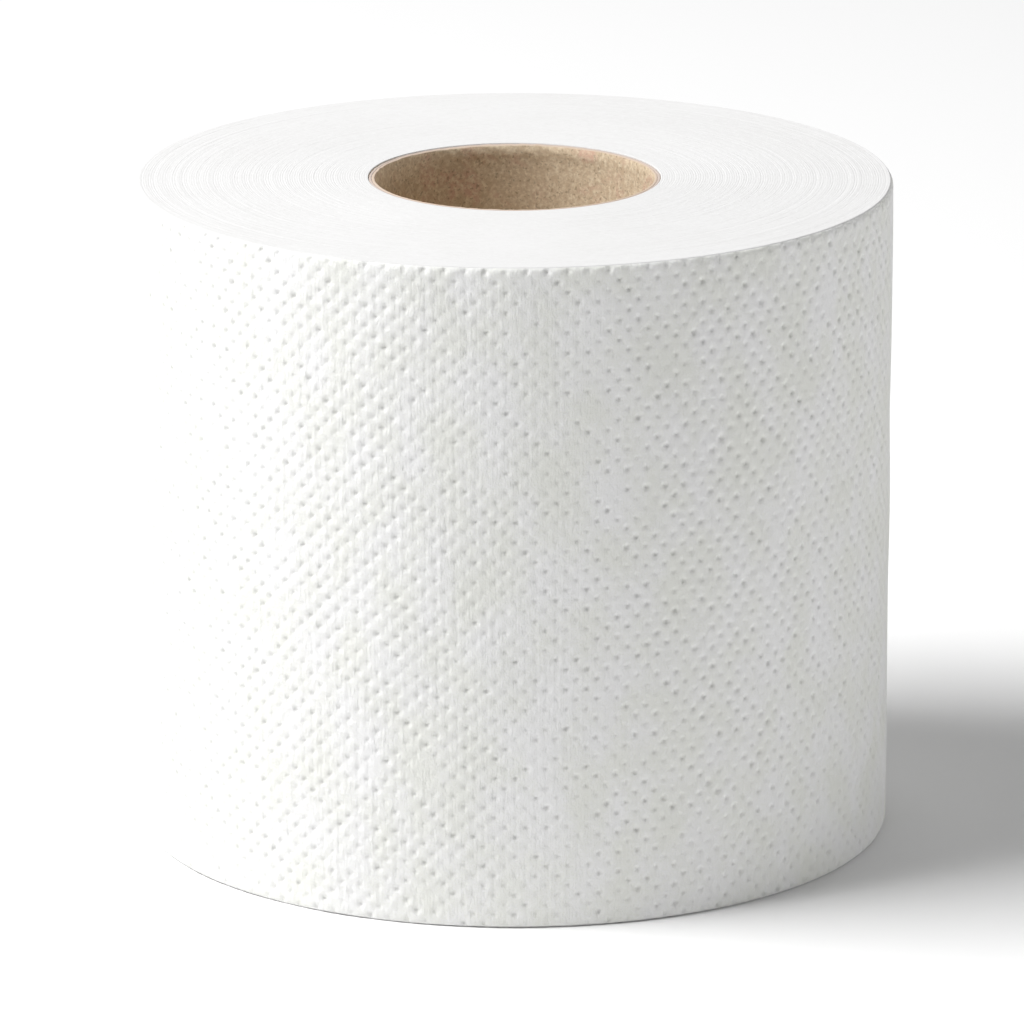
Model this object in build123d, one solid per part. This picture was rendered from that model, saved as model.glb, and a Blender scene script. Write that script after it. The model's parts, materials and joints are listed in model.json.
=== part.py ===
from build123d import *
import os

# A roll of toilet tissue standing on one end, as it is stored and sold: a spirally
# wound web of embossed tissue on a cardboard core.
#
# Frame: the origin is on the core's axis, in the end face that the roll stands on.
# +Z runs up the axis. +Y is the back of the roll, where the web's tail lies.
# All sizes are in millimetres, and all angles in degrees.

# ---- Driving dimensions ----

# The web of tissue
roll_diameter = 114.0       # mean, across the outermost turn
web_width = 100.0           # width of the tissue, and so the height of the standing roll
sheet_caliper = 0.36        # thickness that one turn adds to the roll's radius
tail_angle = 85.0           # where the web's cut end lies, from +X about +Z
rim_radius = 0.9            # softness of the wound edge, where an end face turns into the side

# The core
core_diameter = 43.8        # outside, where the first turn is picked up
core_wall = 0.9             # two plies of board
core_clearance = 0.1        # radial, between the core and the first turn

# ---- Sizes that follow ----

mean_radius = roll_diameter / 2
core_radius = core_diameter / 2
core_bore_radius = core_radius - core_wall
tissue_bore_radius = core_radius + core_clearance
core_length = web_width     # paper and core are sawn through together

ON_BASE = (Align.CENTER, Align.CENTER, Align.MIN)


def quarter_of_roll(index):
    """One quarter of the wound web, with its two soft rims.

    The outermost turn is a four-centre spiral. Each quarter is turned about its own corner
    of a small square round the roll's axis, and is a quarter of a sheet smaller in radius
    than the one before, so the quarters run into each other without a corner. Over the whole
    turn the side drops by one sheet, from half a sheet over the mean radius to half a sheet
    under it, and the step between the last quarter and the first is the tail's cut edge.
    """
    quarter_drop = sheet_caliper / 4
    corner = quarter_drop / 2
    radius = mean_radius + sheet_caliper / 2 - corner - index * quarter_drop
    half_section = Rectangle(radius, web_width, align=Align.MIN)
    rims = half_section.vertices().group_by(Axis.X)[-1]
    half_section = fillet(rims, rim_radius)
    quarter = revolve(Plane.XZ * half_section, Axis.Z, 90)
    return Rot(Z=90 * index) * Pos(corner, -corner) * quarter


def make_tissue():
    """Every turn of the web, as one solid ring with the tail's step down its side."""
    wound = quarter_of_roll(0) + [quarter_of_roll(index) for index in (1, 2, 3)]
    bore = Cylinder(tissue_bore_radius, web_width, align=ON_BASE)
    return Rot(Z=tail_angle) * (wound - bore)


def make_core_tube():
    """The cardboard core, open at both ends and flush with the tissue there."""
    outside = Cylinder(core_radius, core_length, align=ON_BASE)
    bore = Cylinder(core_bore_radius, core_length, align=ON_BASE)
    return outside - bore


nodes = {
    "tissue": make_tissue(),
    "core_tube": make_core_tube(),
}

os.makedirs("parts", exist_ok=True)
for name, shape in nodes.items():
    export_step(shape, f"parts/{name}.step")
    print(f"{name}: {len(shape.solids())} solid, {shape.volume:.1f} mm3, {shape.bounding_box().size}")
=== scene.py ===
"""The looks of a roll of embossed toilet tissue standing on one end.

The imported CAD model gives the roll's size and place. This script winds the sheets of the
outermost turn round it with their pin emboss, lays the edges of the turns over both ends,
and puts the two-ply board core in the bore. Every length is in metres.
"""
import json
import logging
import math
from dataclasses import dataclass, field
from enum import Enum
from typing import Any

import bmesh
import bpy
import numpy as np
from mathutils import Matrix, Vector


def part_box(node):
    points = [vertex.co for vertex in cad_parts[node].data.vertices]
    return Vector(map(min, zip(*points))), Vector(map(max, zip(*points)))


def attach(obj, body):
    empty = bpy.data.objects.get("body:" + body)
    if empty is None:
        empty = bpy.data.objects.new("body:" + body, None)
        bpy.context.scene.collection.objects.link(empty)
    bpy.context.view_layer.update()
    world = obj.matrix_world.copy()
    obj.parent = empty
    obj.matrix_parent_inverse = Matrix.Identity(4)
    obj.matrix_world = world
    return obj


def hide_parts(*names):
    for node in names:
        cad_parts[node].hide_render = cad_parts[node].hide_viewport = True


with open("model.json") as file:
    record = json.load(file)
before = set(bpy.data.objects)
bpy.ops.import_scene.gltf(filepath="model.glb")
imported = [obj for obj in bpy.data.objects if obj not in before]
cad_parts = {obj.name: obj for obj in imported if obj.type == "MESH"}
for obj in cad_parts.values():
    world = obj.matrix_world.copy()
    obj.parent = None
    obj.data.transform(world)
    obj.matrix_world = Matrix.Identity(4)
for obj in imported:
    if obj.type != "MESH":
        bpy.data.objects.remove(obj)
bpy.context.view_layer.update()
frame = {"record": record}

MM = 0.001
CORE_GAP = 0.1 * MM
Array = np.ndarray
Colour = tuple[float, float, float, float]

log = logging.getLogger("toilet_roll")


# ---------------------------------------------------------------------------
# Shader maths
# ---------------------------------------------------------------------------


class Signal:
    """One output of a shader node, which Python's own operators can work with."""

    def __init__(self, graph: "Graph", socket: bpy.types.NodeSocket) -> None:
        """Wraps a socket of a graph."""
        self.graph = graph
        self.socket = socket

    def _math(self, operation: str, *values: "Signal | float") -> "Signal":
        """Adds a Math node for an operation on values."""
        return self.graph.add("ShaderNodeMath", {"operation": operation}, dict(enumerate(values)))

    def __add__(self, other: "Signal | float") -> "Signal":
        """The sum of two signals."""
        return self._math("ADD", self, other)

    def __radd__(self, other: float) -> "Signal":
        """A number plus the signal."""
        return self._math("ADD", other, self)

    def __sub__(self, other: "Signal | float") -> "Signal":
        """The signal less another."""
        return self._math("SUBTRACT", self, other)

    def __rsub__(self, other: float) -> "Signal":
        """A number less the signal."""
        return self._math("SUBTRACT", other, self)

    def __mul__(self, other: "Signal | float") -> "Signal":
        """The product of two signals."""
        return self._math("MULTIPLY", self, other)

    def __rmul__(self, other: float) -> "Signal":
        """A number times the signal."""
        return self._math("MULTIPLY", other, self)

    def __truediv__(self, other: "Signal | float") -> "Signal":
        """The signal over another."""
        return self._math("DIVIDE", self, other)

    def __pow__(self, power: float) -> "Signal":
        """The signal to a power."""
        return self._math("POWER", self, power)

    def __neg__(self) -> "Signal":
        """The signal with its sign turned."""
        return self._math("MULTIPLY", self, -1.0)

    def exp(self) -> "Signal":
        """The exponential of the signal."""
        return self._math("EXPONENT", self)

    def fraction(self) -> "Signal":
        """What the signal has past its last whole number."""
        return self._math("FRACT", self)

    def ramp(self, low: float, high: float) -> "Signal":
        """A smooth step: 0 below low, 1 above high, and an even curve between.

        Args:
            low: Where the step starts.
            high: Where the step ends, which may be less than low to turn it round.

        Returns:
            The step, from 0 to 1.
        """
        if high < low:
            return 1.0 - self.ramp(high, low)
        values = {"Value": self, "From Min": low, "From Max": high}
        return self.graph.add("ShaderNodeMapRange", {"interpolation_type": "SMOOTHSTEP"}, values)


class Graph:
    """The node tree of one material."""

    def __init__(self, name: str) -> None:
        """Makes a material of this name with an empty tree."""
        self.material = bpy.data.materials.new(name)
        self.material.use_nodes = True
        self.tree = self.material.node_tree
        self.tree.nodes.clear()

    def add(
        self,
        kind: str,
        settings: dict[str, Any] | None = None,
        values: dict[str | int, Any] | None = None,
        output: str | int = 0,
    ) -> Signal:
        """Adds a node, sets it, and fills or links its sockets.

        Args:
            kind: The node's type.
            settings: Properties of the node, set before its sockets.
            values: A number, colour or signal for each socket, by its name or place.
            output: The output that is wanted.

        Returns:
            The wanted output.
        """
        node = self.tree.nodes.new(kind)
        for key, value in (settings or {}).items():
            setattr(node, key, value)
        for key, value in (values or {}).items():
            if isinstance(value, Signal):
                self.tree.links.new(value.socket, node.inputs[key])
            else:
                node.inputs[key].default_value = value
        return Signal(self, node.outputs[output])

    def parts(self, vector: Signal) -> list[Signal]:
        """The x, y and z of a vector, as three signals."""
        first = self.add("ShaderNodeSeparateXYZ", values={0: vector})
        return [Signal(self, socket) for socket in first.socket.node.outputs]

    def place(self) -> list[Signal]:
        """The x, y and z of the point on the object, in metres."""
        return self.parts(self.add("ShaderNodeTexCoord", output="Object"))

    def vector(self, x: Signal | float, y: Signal | float, z: Signal | float) -> Signal:
        """One vector of three signals or numbers."""
        return self.add("ShaderNodeCombineXYZ", values={0: x, 1: y, 2: z})

    def noise(self, vector: Signal, detail: float = 2.0, roughness: float = 0.5) -> Signal:
        """Cloudy noise about one unit in size, from 0 to 1 about 0.5.

        Args:
            vector: Where to read it.
            detail: How many finer layers it has.
            roughness: How strong the finer layers are.

        Returns:
            The noise.
        """
        values = {"Vector": vector, "Scale": 1.0, "Detail": detail, "Roughness": roughness}
        return self.add("ShaderNodeTexNoise", values=values)

    def grain(
        self,
        place: list[Signal],
        size: float,
        stretch: float = 1.0,
        shift: float = 0.0,
        detail: float = 2.0,
        roughness: float = 0.5,
    ) -> Signal:
        """Noise of a stated size at a place on the object.

        Args:
            place: The point's x, y and z, in metres.
            size: The usual size of the noise's spots, in metres.
            stretch: How many times longer the spots are along the axis.
            shift: A step along the noise, so that two of a kind differ.
            detail: How many finer layers it has.
            roughness: How strong the finer layers are.

        Returns:
            The noise, from 0 to 1 about 0.5.
        """
        x, y, z = place
        height = z / (size * stretch) + shift
        return self.noise(self.vector(x / size, y / size, height), detail, roughness)

    def mix(self, amount: Signal | float, first: Signal | Colour, second: Signal | Colour) -> Signal:
        """A colour between two, by an amount from 0 to 1."""
        settings = {"data_type": "RGBA", "clamp_factor": True}
        return self.add("ShaderNodeMix", settings, {0: amount, 6: first, 7: second}, output=2)

    def finish(self, colour: Signal, height: Signal | float, surface: dict[str, Any]) -> bpy.types.Material:
        """Ends the tree in a principled shader with a bumped normal.

        Args:
            colour: The base colour.
            height: The fine relief, in metres along the outward normal, or 0 for none.
            surface: Plain values and signals for the shader's other sockets.

        Returns:
            The finished material.
        """
        normal = self.add("ShaderNodeBump", values={"Height": height, "Distance": 1.0, "Strength": 1.0})
        values = {"Base Color": colour, "Normal": normal, **surface}
        shader = self.add("ShaderNodeBsdfPrincipled", values=values)
        self.add_output(shader)
        return self.material

    def add_output(self, shader: Signal) -> None:
        """Links a shader to the material's output."""
        node = self.tree.nodes.new("ShaderNodeOutputMaterial")
        self.tree.links.new(shader.socket, node.inputs["Surface"])


# ---------------------------------------------------------------------------
# Surfaces
# ---------------------------------------------------------------------------


def ripple(x: Array, y: Array, length: float, seed: int, waves: int = 12) -> Array:
    """Smooth chance unevenness over a plane.

    It is the sum of plane waves cos(2 pi s / l + phase), where s is the distance in a chance
    direction and l is near the stated length, divided so that its mean square is 1.

    Args:
        x: First coordinate of each point.
        y: Second coordinate of each point.
        length: The waves' usual length.
        seed: Which draw of the waves.
        waves: How many of them.

    Returns:
        The height at each point.
    """
    draw = np.random.default_rng(seed)
    heading = draw.uniform(0, math.tau, waves)
    phase = draw.uniform(0, math.tau, waves)
    number = math.tau / (length * draw.uniform(0.7, 1.6, waves))
    along = x[..., None] * np.cos(heading) + y[..., None] * np.sin(heading)
    return np.cos(along * number + phase).sum(-1) * math.sqrt(2 / waves)


def dashes(along: Array, cut: float, bond: float) -> Array:
    """A row of cuts between bonds: near 1 on a cut, 0 on a bond, with soft ends.

    It is a logistic step of the cosine of the place in the cycle, centred where the cut ends.
    """
    swing = np.cos(math.tau * along / (cut + bond))
    edge = math.cos(math.pi * cut / (cut + bond))
    return 1 / (1 + np.exp(-14 * (swing - edge)))


def grid_mesh(
    name: str,
    points: Array,
    uv: Array | None = None,
    values: dict[str, Array] | None = None,
    closed: tuple[bool, bool] = (False, False),
) -> bpy.types.Object:
    """A smooth mesh over a grid of points.

    Cell (i, j) is the quad of points (i, j), (i + 1, j), (i + 1, j + 1) and (i, j + 1), so
    that its face points the way of the cross product of i's direction and j's.

    Args:
        name: The piece's name.
        points: The points, as an array of i by j by 3.
        uv: The two coordinates of each point, for the piece's UV map.
        values: Named numbers, one for each point.
        closed: Whether the last row of i, and of j, joins the first.

    Returns:
        The mesh's object, at the origin.
    """
    rows, columns = points.shape[:2]
    number = np.arange(rows * columns).reshape(rows, columns)
    if closed[0]:
        number = np.concatenate([number, number[:1]], 0)
    if closed[1]:
        number = np.concatenate([number, number[:, :1]], 1)
    corners = (number[:-1, :-1], number[1:, :-1], number[1:, 1:], number[:-1, 1:])
    faces = np.stack(corners, -1).reshape(-1, 4)
    mesh = bpy.data.meshes.new(name)
    mesh.vertices.add(rows * columns)
    mesh.vertices.foreach_set("co", points.reshape(-1).astype(np.float32))
    mesh.loops.add(faces.size)
    mesh.loops.foreach_set("vertex_index", faces.reshape(-1).astype(np.int32))
    mesh.polygons.add(len(faces))
    mesh.polygons.foreach_set("loop_start", np.arange(0, faces.size, 4, dtype=np.int32))
    mesh.polygons.foreach_set("use_smooth", np.ones(len(faces), dtype=bool))
    if uv is not None:
        layer = mesh.uv_layers.new(name="web")
        layer.data.foreach_set("uv", uv.reshape(-1, 2)[faces.reshape(-1)].reshape(-1).astype(np.float32))
    for key, value in (values or {}).items():
        attribute = mesh.attributes.new(key, "FLOAT", "POINT")
        attribute.data.foreach_set("value", value.reshape(-1).astype(np.float32))
    mesh.update()
    mesh.validate()
    piece = bpy.data.objects.new(name, mesh)
    bpy.context.scene.collection.objects.link(piece)
    return piece


def merge_seam(piece: bpy.types.Object, distance: float = 0.0005 * MM) -> None:
    """Joins the points of a piece that lie on each other, where its surface meets itself."""
    work = bmesh.new()
    work.from_mesh(piece.data)
    bmesh.ops.remove_doubles(work, verts=work.verts, dist=distance)
    work.to_mesh(piece.data)
    work.free()


# ---------------------------------------------------------------------------
# The web and how it is wound
# ---------------------------------------------------------------------------


@dataclass(frozen=True)
class Winding:
    """The spiral that the web is wound in, with the soft rims of its ends."""

    mean_radius: float
    height: float
    bore_radius: float
    caliper: float = 0.36 * MM
    tail_angle: float = math.radians(85.0)
    rim_radius: float = 0.9 * MM

    def side_radius(self, turned: Array) -> Array:
        """The side's distance from the axis: it drops evenly, by one caliper in a turn.

        Args:
            turned: Angle past the tail's cut edge, in radians.

        Returns:
            The radius at each angle.
        """
        return self.mean_radius + self.caliper * (0.5 - turned / math.tau)

    def points(self, turned: Array, radius: Array, height: Array) -> Array:
        """The points at these angles past the tail, distances from the axis and heights."""
        angle = turned + self.tail_angle
        return np.stack(np.broadcast_arrays(radius * np.cos(angle), radius * np.sin(angle), height), -1)

    def rim_drop(self, inset: Array) -> Array:
        """How far the quarter-round rim lies under the end, at an inset from the side."""
        reach = np.clip(self.rim_radius - inset, 0, self.rim_radius)
        return self.rim_radius - np.sqrt(self.rim_radius**2 - reach**2)


@dataclass(frozen=True)
class PinEmboss:
    """The dotted emboss: small pins on a square lattice that stands on its corner.

    Lattice places are counted in half cells round the roll (p) and up it (q), and a pin
    stands at the middle of every other one, as on the dark squares of a chessboard.
    """

    winding: Winding
    columns: int = 240
    rows: int = 67
    depth: float = 0.24 * MM
    pin_radius: float = 0.31 * MM
    seed: int = 11

    @property
    def pitch(self) -> float:
        """The height of a half cell."""
        return self.winding.height / self.rows

    def strengths(self) -> Array:
        """How hard each pin pressed, about 1, by column and row.

        The roller's pins go in a rhythm of three along both diagonals, cos(2 pi m / 3) and
        cos(2 pi n / 3), and the paper adds a spread by chance.
        """
        column, row = np.mgrid[0 : self.columns, 0 : self.rows]
        first = np.cos(math.tau * (column + row) / 6)
        second = np.cos(math.tau * (column - row) / 6)
        chance = np.random.default_rng(self.seed).normal(0, 0.34, column.shape)
        return np.clip(0.98 + 0.22 * first + 0.12 * second + chance, 0.0, 1.9)

    def nearest(self, p: Array, q: Array) -> tuple[Array, Array]:
        """The nearest pin's strength, and the square of the distance to it.

        The lattice is square along m = (p + q - 1) / 2 and n = (p - q) / 2, so the nearest
        pin is at the nearest whole m and n.

        Args:
            p: Half cells round the roll from the tail.
            q: Half cells up from the base.

        Returns:
            The strength, and the squared distance in square metres.
        """
        m, n = (p + q - 1) / 2, (p - q) / 2
        whole_m, whole_n = np.round(m), np.round(n)
        column = (whole_m + whole_n).astype(int) % self.columns
        row = (whole_m - whole_n).astype(int)
        inside = (row >= 0) & (row < self.rows)
        strength = self.strengths()[column, np.clip(row, 0, self.rows - 1)] * inside
        return strength, 2 * ((m - whole_m) ** 2 + (n - whole_n) ** 2) * self.pitch**2

    def relief(self, p: Array, q: Array) -> Array:
        """The pins' depth in the paper, as the bell curve exp(-d d / 2 r r) about each."""
        strength, square = self.nearest(p, q)
        return self.depth * strength * np.exp(-square / (2 * self.pin_radius**2))


class End(Enum):
    """The two ends of the standing roll."""

    TOP = "top"
    BASE = "base"


@dataclass
class OuterTurn:
    """The outermost turn: three embossed sheets between lines of perforation."""

    winding: Winding
    emboss: PinEmboss
    names: tuple[str, ...] = ("sheet_at_tail", "sheet_at_front", "sheet_under_tail")
    sheet_columns: tuple[int, ...] = (83, 83, 74)
    samples: int = 4
    cut_length: float = 3.3 * MM
    bond_length: float = 0.9 * MM
    cut_depth: float = 0.1 * MM
    cut_width: float = 0.22 * MM
    wave_height: float = 0.04 * MM
    stray: float = 0.16 * MM
    tail_lift: float = 0.12 * MM
    tail_curl: float = 2.5 * MM
    tail_teeth: float = 0.22 * MM
    tuck_depth: float = 0.2 * MM

    def rows(self) -> tuple[Array, Array]:
        """The rows of points up a sheet.

        The straight part follows the emboss, four rows to a half cell. At each end the rows
        go round the quarter-round rim, over most of the sheet's thickness, and then down
        beside the next turn.

        Returns:
            The height of each row, and how far it stands in from the side.
        """
        wind = self.winding
        step = self.emboss.pitch / self.samples
        first = math.ceil(wind.rim_radius / step)
        straight = np.arange(first, self.emboss.rows * self.samples - first + 1) * step
        round_rim = np.radians([0.0, 14.0, 27.0, 38.0, 47.0])
        inset = np.append(wind.rim_radius * (1 - np.cos(round_rim)), wind.caliper)
        drop = np.append(wind.rim_radius * (1 - np.sin(round_rim)), self.tuck_depth)
        heights = np.concatenate([drop[::-1], straight, wind.height - drop])
        return heights, np.concatenate([inset[::-1], 0 * straight, inset])

    def cuts(self, p: Array, height: Array) -> Array:
        """The depth of the perforation at a place: a bell curve across each line of dashes."""
        lines = np.cumsum(self.sheet_columns)[:-1]
        away = np.abs(p[..., None] - lines).min(-1) * self.emboss.pitch
        shape = np.exp(-((away / self.cut_width) ** 2))
        return self.cut_depth * shape * dashes(height, self.cut_length, self.bond_length)

    def columns(self, index: int) -> tuple[Array, Array]:
        """The columns of points round one sheet.

        The first sheet starts under its own cut edge, so that the edge has its thickness,
        and the last one runs on a little way under the first.

        Args:
            index: Which sheet, counted from the tail.

        Returns:
            The place of each column in half cells, and how far under the paper's face it is.
        """
        start = sum(self.sheet_columns[:index])
        count = self.sheet_columns[index] * self.samples
        p = start + np.arange(count + 1) / self.samples
        under = np.zeros(count + 1)
        if index == 0:
            p = np.concatenate([[0.8, 0.0], p])
            under = np.concatenate([[self.winding.caliper] * 2, under])
        if index == len(self.sheet_columns) - 1:
            p = np.append(p, p[-1] + 0.5)
            under = np.append(under, 0.0)
        return p, under

    def build_sheet(self, index: int) -> bpy.types.Object:
        """Builds one sheet.

        A point's radius is the spiral's, less the rim's inset, the pins, the cuts and a slow
        wave in the paper. Slow waves also carry the emboss a little to the side and up, as
        paper strays under a roller, and the tail stands off as exp(-s / c), with s
        the way round from its cut edge and c the length of its curl.

        Args:
            index: Which sheet, counted from the tail.

        Returns:
            The piece.
        """
        wind, pitch = self.winding, self.emboss.pitch
        columns, under = self.columns(index)
        heights, insets = self.rows()
        p, height = np.meshgrid(columns, heights, indexing="ij")
        inset, depth = np.meshgrid(insets, under, indexing="xy")
        q = height / pitch
        along = p * pitch
        shift = self.stray * ripple(along, height, 32 * MM, seed=21)
        climb = self.stray * ripple(along, height, 28 * MM, seed=22)
        climb = climb * np.sin(math.pi * q / self.emboss.rows)
        wave = self.wave_height * ripple(along, height * 0.5, 11 * MM, seed=23)
        loose = 0.8 + 0.2 * ripple(height, along, 14 * MM, seed=24)
        lift = self.tail_lift * np.exp(-along / self.tail_curl) * loose
        teeth = (p == 0) * self.tail_teeth * (1 - dashes(height, self.cut_length, self.bond_length))
        upright = np.clip(1 - inset / wind.rim_radius, 0, 1) * (inset < wind.caliper)
        shape = wave + lift * (index == 0) - self.cuts(p, height) - self.emboss.relief(p, q)
        turned = p * math.tau / self.emboss.columns + (shift - teeth * (index == 0)) / wind.mean_radius
        radius = wind.side_radius(turned) - inset - depth + shape * upright
        strength, _ = self.emboss.nearest(p, q)
        return grid_mesh(
            self.names[index],
            wind.points(turned, radius, height + climb),
            uv=np.stack([p, q], -1),
            values={"pin_strength": strength},
        )

    def build(self, material: bpy.types.Material) -> list[bpy.types.Object]:
        """Builds and dresses the three sheets."""
        sheets = [self.build_sheet(index) for index in range(len(self.names))]
        for sheet in sheets:
            sheet.data.materials.append(material)
        return sheets


@dataclass
class WoundEdge:
    """The edges of all the turns, laid side by side over one end of the roll."""

    winding: Winding
    end: End
    columns: int
    samples: int = 4
    groove_depth: float = 0.026 * MM
    unevenness: float = 0.009 * MM
    outer_depth: float = 0.2 * MM
    bore_slope: float = 3.0

    def rows(self) -> Array:
        """The rows of points across the turns: four to a turn, and on down into the bore."""
        wind = self.winding
        turns = (wind.side_radius(0.0) - wind.bore_radius) / wind.caliper
        return np.arange(self.samples * math.ceil(turns) + 1)

    def lie(self, turn: Array, turned: Array) -> Array:
        """How proud each turn's edge stands, about 0 and with a mean square of 1.

        It is chance unevenness over the count of turns, in two lengths, and changes slowly
        on the way round because the point also moves on a circle.
        """
        x, y = turn + 1.6 * np.cos(turned), 1.6 * np.sin(turned)
        return 0.8 * ripple(x, y, 2.1, seed=31, waves=20) + 0.6 * ripple(x, y, 9.0, seed=32)

    def build(self, material: bpy.types.Material) -> bpy.types.Object:
        """Builds and dresses the end.

        The rows follow the spiral, so each turn has a groove on either side and a crown
        sin(pi k / 4) squared between them, and a row's end meets the start of the row four
        further in. Rows that would pass the bore run down its wall.

        Args:
            material: The finish of the cut edges.

        Returns:
            The piece.
        """
        wind = self.winding
        angles = np.linspace(0, math.tau, self.columns + 1)
        turned, row = np.meshgrid(angles, self.rows(), indexing="ij")
        spiral = wind.side_radius(turned) - wind.caliper * (1 + row / self.samples)
        past_bore = np.clip(wind.bore_radius - spiral, 0, None)
        turn = row / self.samples + turned / math.tau
        crown = np.sin(math.pi * row / self.samples) ** 2
        lie = self.lie(turn, turned)
        groove = self.groove_depth * (1 - crown) * (1 + 0.35 * ripple(turn, turned * 0, 3.0, seed=33))
        inset = wind.side_radius(0.0) - spiral
        drop = wind.rim_drop(inset) + np.abs(groove) + self.unevenness * (2.2 - np.clip(lie, -2.2, 2.2))
        drop = np.where(row == 0, self.outer_depth, drop) + self.bore_slope * past_bore
        points = wind.points(turned, np.maximum(spiral, wind.bore_radius), wind.height - drop)
        if self.end is End.BASE:
            points[..., 2] = wind.height - points[..., 2]
            points = points[:, ::-1]
        piece = grid_mesh(f"wound_edge_{self.end.value}", points)
        merge_seam(piece)
        piece.data.materials.append(material)
        return piece


@dataclass
class CoreTube:
    """The board core: two plies wound on a slant, sawn off with the paper."""

    outer_radius: float
    bore_radius: float
    height: float
    columns: int = 300
    wall_rows: int = 60
    rim_rows: int = 17
    seam_lead: float = 82 * MM
    seam_phase: float = math.radians(200.0)
    seam_width: float = 0.28 * MM
    seam_depth: float = 0.16 * MM
    edge_round: float = 0.13 * MM
    recess: float = 0.12 * MM
    burr_angle: float = math.radians(88.0)
    burr_reach: float = 0.45 * MM
    burr_half_width: float = math.radians(36.0)
    burr_drop: float = 0.25 * MM
    burr_height: float = 0.22 * MM
    crowding: float = 0.85
    fuzz: float = 0.02 * MM
    out_of_round: float = 0.06 * MM

    def loop(self) -> tuple[Array, Array]:
        """The wall's section as a closed loop: down the bore, out, up the outside and in.

        Over each ply of a rim the edge drops as the fifth power of the distance from the
        ply's middle, which leaves a groove between the plies.

        Returns:
            How far through the wall each point is, from 0 to 1, and its height.
        """
        through = np.linspace(0, 1, self.rim_rows)
        from_middle = np.abs(2 * np.mod(2 * through, 1) - 1)
        drop = self.recess + self.edge_round * from_middle**5
        wall = np.linspace(0, 1, self.wall_rows + 2)[1:-1]
        low, high = drop[0], self.height - drop[0]
        heights = [high + (low - high) * wall, drop, low + (high - low) * wall, self.height - drop]
        return np.concatenate([0 * wall, through, 1 + 0 * wall, 1 - through]), np.concatenate(heights)

    def build(self, material: bpy.types.Material) -> bpy.types.Object:
        """Builds and dresses the tube.

        The columns run on a slant, angle = u - c sin u + 2 pi z / lead, so that they
        crowd along the joint of the inner ply, where the wall has a narrow bell-shaped
        groove. The saw has left a burr on the inner edge of the top, on one side.

        Args:
            material: The board's finish.

        Returns:
            The piece.
        """
        through, heights = self.loop()
        spread = np.arange(self.columns) * math.tau / self.columns
        across = spread - self.crowding * np.sin(spread)
        across, height = np.meshgrid(across, heights, indexing="ij")
        through = np.broadcast_to(through, height.shape)
        angle = across + math.tau * height / self.seam_lead + self.seam_phase
        x, y = np.cos(angle) * self.bore_radius, np.sin(angle) * self.bore_radius
        from_seam = np.minimum(across, math.tau - across) * self.bore_radius
        seam = self.seam_depth * np.exp(-((from_seam / self.seam_width) ** 2)) * (through == 0)
        rough = self.fuzz * ripple(x + height, y - height, 1.6 * MM, seed=41)
        round_about = self.out_of_round * ripple(x, y + 0.3 * height, 24 * MM, seed=42)
        apart = np.abs(np.angle(np.exp(1j * (angle - self.burr_angle))))
        torn = 1 + 0.35 * ripple(angle * self.bore_radius, 0 * height, 1.3 * MM, seed=43)
        side = np.clip(1.2 - (apart / self.burr_half_width) ** 4, 0, 1)
        below = self.height - self.recess - self.burr_drop - height
        under_top = np.exp(-((below / self.burr_height) ** 2))
        burr = self.burr_reach * side * torn * under_top * (through < 0.2)
        wall = self.outer_radius - self.bore_radius
        radius = self.bore_radius + wall * through + seam + round_about - burr + rough * (through < 1)
        rim = np.clip(through * (1 - through) * 16, 0, 1)
        height = height + rim * rough * np.where(height > self.height / 2, 1, 0)
        points = np.stack([radius * np.cos(angle), radius * np.sin(angle), height], -1)
        piece = grid_mesh("board_core", points, values={"through": through}, closed=(True, True))
        piece.data.materials.append(material)
        return piece


# ---------------------------------------------------------------------------
# Finishes
# ---------------------------------------------------------------------------


def grey(value: float, warmth: float = 0.0) -> Colour:
    """A grey of this value, a little warmer or cooler."""
    return (value * (1 + warmth), value, value * (1 - warmth), 1.0)


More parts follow.
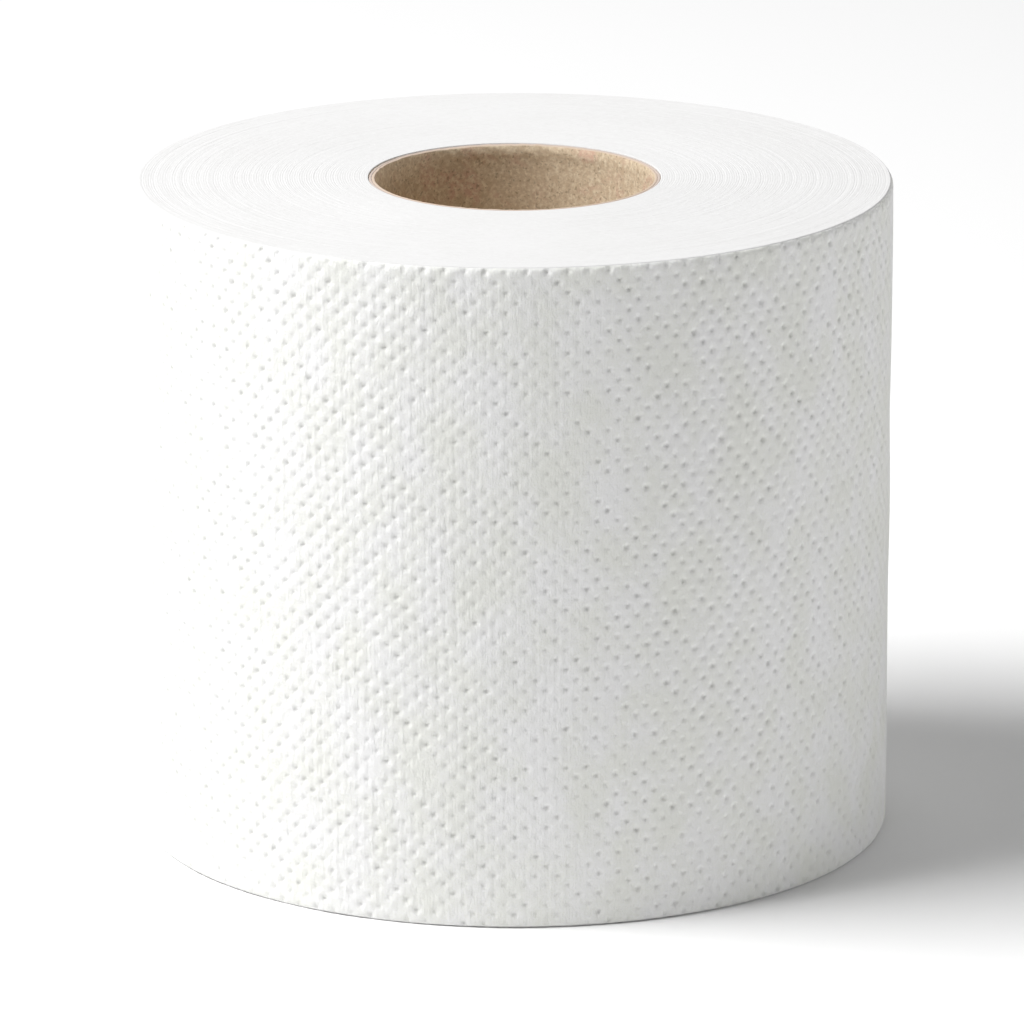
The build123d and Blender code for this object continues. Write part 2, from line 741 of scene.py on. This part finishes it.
@dataclass(frozen=True)
class TissueFinish:
    """Creped white tissue with the fine part of the pin emboss, and painted shade that darkens the pins'
    pits.
    """

    emboss: PinEmboss
    sheet_columns: int
    white: float = 0.9
    cream: Colour = (0.855, 0.86, 0.815, 1.0)
    roughness: float = 0.95
    crepe_spacing: float = 0.42 * MM
    crepe_height: float = 0.05 * MM
    fibre_size: float = 0.3 * MM
    fibre_height: float = 0.04 * MM
    cloud_size: float = 6 * MM
    pucker_size: float = 1.3 * MM
    pucker_height: float = 0.11 * MM
    pin_sharpness: float = 0.24 * MM
    pin_depth: float = 0.09 * MM
    # Painted shade in the pins' pits: how far each pit's colour goes towards the grey below, at full pin
    # strength.
    pin_shade: float = 0.1
    painted_pit_shade: Colour = (0.51, 0.5, 0.49, 1.0)

    def pins(self, graph: Graph, p: Signal, q: Signal) -> Signal:
        """The bell curve of the nearest pin, from the same lattice as the mesh's; it shapes both the bump
        and the painted shade in the pits.
        """
        m = ((p + q - 1.0) * 0.5 + 0.5).fraction() - 0.5
        n = ((p - q) * 0.5 + 0.5).fraction() - 0.5
        square = (m * m + n * n) * (2 * (self.emboss.pitch / self.pin_sharpness) ** 2)
        strength = graph.add("ShaderNodeAttribute", {"attribute_name": "pin_strength"}, output="Fac")
        return strength * (square * -0.5).exp()

    def make(self) -> bpy.types.Material:
        """Builds the material."""
        graph = Graph("white_tissue")
        place = graph.place()
        p, q, _ = graph.parts(graph.add("ShaderNodeUVMap", {"uv_map": "web"}))
        crepe = graph.grain(place, self.crepe_spacing, stretch=9.0, detail=3.0, roughness=0.6)
        fibres = graph.grain(place, self.fibre_size, detail=3.0, roughness=0.65)
        cloud = graph.grain(place, self.cloud_size, stretch=1.5)
        pins = self.pins(graph, p, q)
        pucker = graph.grain(place, self.pucker_size, stretch=1.6)
        height = (crepe - 0.5) * (2 * self.crepe_height) + (fibres - 0.5) * (2 * self.fibre_height)
        height = height + (pucker - 0.5) * (2 * self.pucker_height)
        height = height - pins * self.pin_depth
        shade = (cloud * 0.6 + fibres * 0.4).ramp(0.35, 0.65)
        thin = graph.mix(shade, self.cream, grey(self.white, 0.001))
        # Painted shade: each pit is darkened towards a grey by its pin's bell curve.
        colour = graph.mix(pins * self.pin_shade, thin, self.painted_pit_shade)
        return graph.finish(colour, height, {"Roughness": self.roughness, "Specular IOR Level": 0.15})


@dataclass(frozen=True)
class CutEdgeFinish:
    """The sawn edges of the turns: soft, fibrous and matte."""

    white: float = 0.77
    roughness: float = 1.0
    strand_length: float = 1.6 * MM
    strand_width: float = 0.13 * MM
    strand_height: float = 0.02 * MM
    mean_turn: float = 40 * MM
    speck_size: float = 0.7 * MM
    cloud_size: float = 12 * MM

    def make(self) -> bpy.types.Material:
        """Builds the material: strands that run with the turns, from noise over a cone."""
        graph = Graph("cut_tissue_edges")
        place = graph.place()
        x, y, _ = place
        radius = (x * x + y * y) ** 0.5
        turn = self.mean_turn / self.strand_length
        strands = graph.noise(
            graph.vector(x / radius * turn, y / radius * turn, radius / self.strand_width), detail=2.0
        )
        specks = graph.grain(place, self.speck_size, detail=3.0, roughness=0.6)
        cloud = graph.grain(place, self.cloud_size)
        height = (strands - 0.5) * (2 * self.strand_height) + (specks - 0.5) * self.strand_height
        shade = (strands * 0.5 + specks * 0.3 + cloud * 0.2).ramp(0.3, 0.62)
        colour = graph.mix(shade, grey(self.white * 0.93, 0.008), grey(self.white, 0.003))
        return graph.finish(colour, height, {"Roughness": self.roughness, "Specular IOR Level": 0.1})


@dataclass(frozen=True)
class BoardFinish:
    """Grey-brown board of mixed pulp: blotches, fibres and flecks, with a paler inner ply."""

    base: Colour = (0.62, 0.49, 0.345, 1.0)
    rosy: Colour = (0.66, 0.45, 0.34, 1.0)
    pale: Colour = (0.84, 0.72, 0.54, 1.0)
    fleck: Colour = (0.26, 0.19, 0.12, 1.0)
    outer_edge: Colour = (0.56, 0.47, 0.42, 1.0)
    inner_edge: Colour = (0.62, 0.5, 0.4, 1.0)
    roughness: float = 0.85
    blotch_size: float = 5 * MM
    fibre_size: float = 0.7 * MM
    fleck_size: float = 0.5 * MM
    blotch_height: float = 0.06 * MM
    fibre_height: float = 0.05 * MM

    def make(self) -> bpy.types.Material:
        """Builds the material."""
        graph = Graph("core_board")
        place = graph.place()
        blotch = graph.grain(place, self.blotch_size, shift=4.0)
        fibre = graph.grain(place, self.fibre_size, detail=3.0, roughness=0.7)
        speck = graph.grain(place, self.fleck_size, shift=9.0, detail=1.0)
        colour = graph.mix(blotch.ramp(0.5, 0.68), self.base, self.rosy)
        colour = graph.mix(fibre.ramp(0.38, 0.74), colour, self.pale)
        colour = graph.mix(speck.ramp(0.56, 0.74) * 0.5, colour, self.fleck)
        through = graph.add("ShaderNodeAttribute", {"attribute_name": "through"}, output="Fac")
        edge = graph.mix(through.ramp(0.42, 0.56), self.inner_edge, self.outer_edge)
        colour = graph.mix(through.ramp(0.01, 0.05) * through.ramp(0.999, 0.97), colour, edge)
        height = (fibre - 0.5) * self.fibre_height + (blotch - 0.5) * self.blotch_height
        return graph.finish(colour, height, {"Roughness": self.roughness, "Specular IOR Level": 0.3})


@dataclass(frozen=True)
class FloorFinish:
    """The plain pale floor."""

    white: float = 0.96
    grain_size: float = 2 * MM

    def make(self) -> bpy.types.Material:
        """Builds the material: paint with the faintest grain."""
        graph = Graph("pale_floor")
        grain = graph.grain(graph.place(), self.grain_size)
        colour = graph.mix(grain, grey(self.white * 0.995), grey(self.white))
        return graph.finish(colour, 0.0, {"Roughness": 1.0, "Specular IOR Level": 0.0})


# ---------------------------------------------------------------------------
# The studio
# ---------------------------------------------------------------------------


@dataclass(frozen=True)
class SoftBox:
    """A square soft light, aimed at a point by its bearing from it.

    A bearing of 0 stands behind the camera and 90 on its right, in degrees.
    """

    name: str
    bearing: float
    elevation: float
    distance: float
    width: float
    height: float
    watts: float

    def build(self, aim: Vector) -> None:
        """Hangs the light.

        Args:
            aim: What it points at.
        """
        turn, rise = math.radians(self.bearing), math.radians(self.elevation)
        out = Vector((math.sin(turn) * math.cos(rise), -math.cos(turn) * math.cos(rise), math.sin(rise)))
        light = bpy.data.lights.new(self.name, "AREA")
        light.shape = "RECTANGLE"
        light.size, light.size_y, light.energy = self.width, self.height, self.watts
        lamp = bpy.data.objects.new(self.name, light)
        lamp.location = aim + out * self.distance
        lamp.rotation_euler = (-out).to_track_quat("-Z", "Y").to_euler()
        bpy.context.scene.collection.objects.link(lamp)


@dataclass
class Studio:
    """The floor, the lights and the camera."""

    roll_height: float
    lights: tuple[SoftBox, ...] = (
        SoftBox("key_left", -80.0, 53.0, 1.6, 0.9, 0.8, 32.0),
        SoftBox("fill_right", 90.0, 5.0, 1.8, 1.2, 0.26, 5.8),
        SoftBox("wash_behind", 180.0, 36.0, 1.6, 1.6, 0.6, 3.4),
    )
    room: float = 0.2
    floor_reach: float = 6.0
    camera_lens: float = 287.1
    camera_pitch: float = math.radians(15.732)
    camera_distance: float = 1.2413
    camera_aim: tuple[float, float, float] = (-0.00038, 0.0, 0.04753)

    def build_camera(self) -> None:
        """Sets up the camera: a long lens that looks a little down on the roll."""
        data = bpy.data.cameras.new("camera")
        data.lens = self.camera_lens
        data.sensor_width = 36.0
        data.clip_start, data.clip_end = 0.05, 50.0
        camera = bpy.data.objects.new("camera", data)
        back = Vector((0.0, -math.cos(self.camera_pitch), math.sin(self.camera_pitch)))
        camera.location = Vector(self.camera_aim) + back * self.camera_distance
        camera.rotation_euler = (math.pi / 2 - self.camera_pitch, 0.0, 0.0)
        bpy.context.scene.collection.objects.link(camera)
        bpy.context.scene.camera = camera

    def build_floor(self) -> None:
        """Lays the floor: a grid of points in the plane that the roll stands on."""
        place = np.linspace(-self.floor_reach, self.floor_reach, 9)
        x, y = np.meshgrid(place, place, indexing="ij")
        floor = grid_mesh("floor", np.stack([x, y, 0 * x], -1))
        floor.data.materials.append(FloorFinish().make())

    def build_room(self) -> None:
        """Gives the room round the studio an even, weak white."""
        world = bpy.data.worlds.new("room")
        world.use_nodes = True
        background = world.node_tree.nodes["Background"]
        background.inputs["Color"].default_value = grey(1.0)
        background.inputs["Strength"].default_value = self.room
        bpy.context.scene.world = world

    def build(self) -> None:
        """Builds the whole studio."""
        self.build_camera()
        self.build_floor()
        self.build_room()
        for light in self.lights:
            light.build(Vector((0.0, 0.0, self.roll_height / 2)))
        bpy.context.scene.view_settings.view_transform = "Standard"


# ---------------------------------------------------------------------------
# The roll
# ---------------------------------------------------------------------------


@dataclass
class ToiletRoll:
    """The whole roll, fitted to the CAD frame."""

    winding: Winding = field(init=False)
    core: CoreTube = field(init=False)

    def __post_init__(self) -> None:
        """Reads the roll's sizes from the frame."""
        low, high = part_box("tissue")
        core_low, core_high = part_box("core_tube")
        mounts = {mount["name"]: mount for mount in frame["record"]["mounts"]}
        bore_radius = mounts["core_bore"]["dims"]["r_mm"] * MM
        outer_radius = (core_high.x - core_low.x) / 2
        self.winding = Winding((high.x - low.x) / 2, high.z - low.z, outer_radius + CORE_GAP)
        self.core = CoreTube(outer_radius, bore_radius, core_high.z - core_low.z)

    def place(self, piece: bpy.types.Object, node: str, slot: str) -> None:
        """Ties a piece to the frame.

        Args:
            piece: The piece.
            node: The CAD node that it stands for.
            slot: The record's material slot. It is not used.
        """
        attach(piece, "root")
        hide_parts(node)
        log.info("%s: %d faces for %s", piece.name, len(piece.data.polygons), node)

    def build(self) -> None:
        """Builds, dresses and places every piece of the roll."""
        emboss = PinEmboss(self.winding)
        turn = OuterTurn(self.winding, emboss)
        for sheet in turn.build(TissueFinish(emboss, turn.sheet_columns[0]).make()):
            self.place(sheet, "tissue", "tissue")
        edges = CutEdgeFinish().make()
        for end, columns in ((End.TOP, 250), (End.BASE, 130)):
            self.place(WoundEdge(self.winding, end, columns).build(edges), "tissue", "tissue")
        self.place(self.core.build(BoardFinish().make()), "core_tube", "core_board")


def main() -> None:
    logging.basicConfig(level=logging.INFO, format="%(name)s: %(message)s")
    roll = ToiletRoll()
    roll.build()
    Studio(roll.winding.height).build()


if __name__ == "__main__":
    main()
